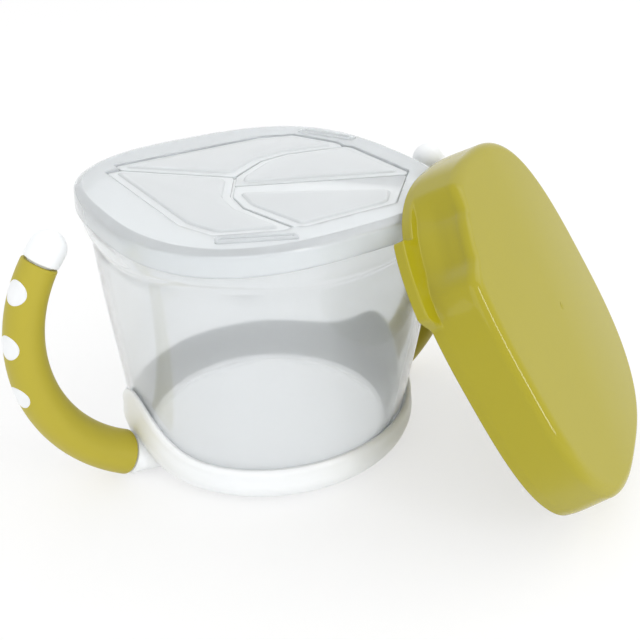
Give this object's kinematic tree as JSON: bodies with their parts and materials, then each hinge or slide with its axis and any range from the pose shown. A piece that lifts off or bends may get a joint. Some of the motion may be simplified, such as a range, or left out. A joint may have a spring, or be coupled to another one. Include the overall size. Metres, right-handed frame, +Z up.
{
  "type": "toddler snack container",
  "caption": "clear snack cup with a round foot, a flapped lid for small hands, curved side handles with soft grips, and a cover leaning beside it",
  "frame": {"origin": "middle of the underside of the cup's foot, on the table", "axes": "+Z up, the two handles lie along X, the cover leans on the -Y side"},
  "size_m": [0.1811, 0.1531, 0.0925],
  "materials": {
    "clear_cup": "clear polypropylene with a slight blue haze, smooth and glossy",
    "clear_lid": "clear flexible plastic, smooth rim, faintly frosted flaps",
    "white_plastic": "bright white moulded plastic, soft gloss",
    "green_rubber": "yellow-green soft-touch rubber, satin",
    "green_plastic": "yellow-green moulded plastic, glossy with faint flow marks"
  },
  "bodies": {
    "base": {"cup": "clear_cup", "handle_ring": "white_plastic", "left_grip": "green_rubber", "right_grip": "green_rubber"},
    "lid": {"lid_frame": "clear_lid"},
    "flap_left": {"left_flap": "clear_lid"},
    "flap_back": {"back_flap": "clear_lid"},
    "flap_right": {"right_flap": "clear_lid"},
    "flap_front": {"front_flap": "clear_lid"},
    "cover": {"cover": "green_plastic"}
  },
  "joints": [
    {"name": "lid_lift", "type": "slide", "parent": "base", "child": "lid", "axis": [0, 0, 1], "range_m": [0, 0.04]},
    {"name": "left_flap_bend", "type": "hinge", "parent": "lid", "child": "flap_left", "pos_m": [-0.0345, 0, 0.0814], "axis": [0, 1, 0], "range_deg": [0, 55], "stiffness_Nm_per_rad": 0.02},
    {"name": "back_flap_bend", "type": "hinge", "parent": "lid", "child": "flap_back", "pos_m": [0, 0.0345, 0.0814], "axis": [1, 0, 0], "range_deg": [0, 55], "stiffness_Nm_per_rad": 0.02},
    {"name": "right_flap_bend", "type": "hinge", "parent": "lid", "child": "flap_right", "pos_m": [0.0386, 0, 0.0814], "axis": [0, -1, 0], "range_deg": [0, 55], "stiffness_Nm_per_rad": 0.02},
    {"name": "front_flap_bend", "type": "hinge", "parent": "lid", "child": "flap_front", "pos_m": [0, -0.0386, 0.0814], "axis": [-1, 0, 0], "range_deg": [0, 55], "stiffness_Nm_per_rad": 0.02},
    {"name": "cover_aside", "type": "slide", "parent": "lid", "child": "cover", "axis": [0.6157, -0.788, 0], "range_m": [0, 0.06]}
  ]
}
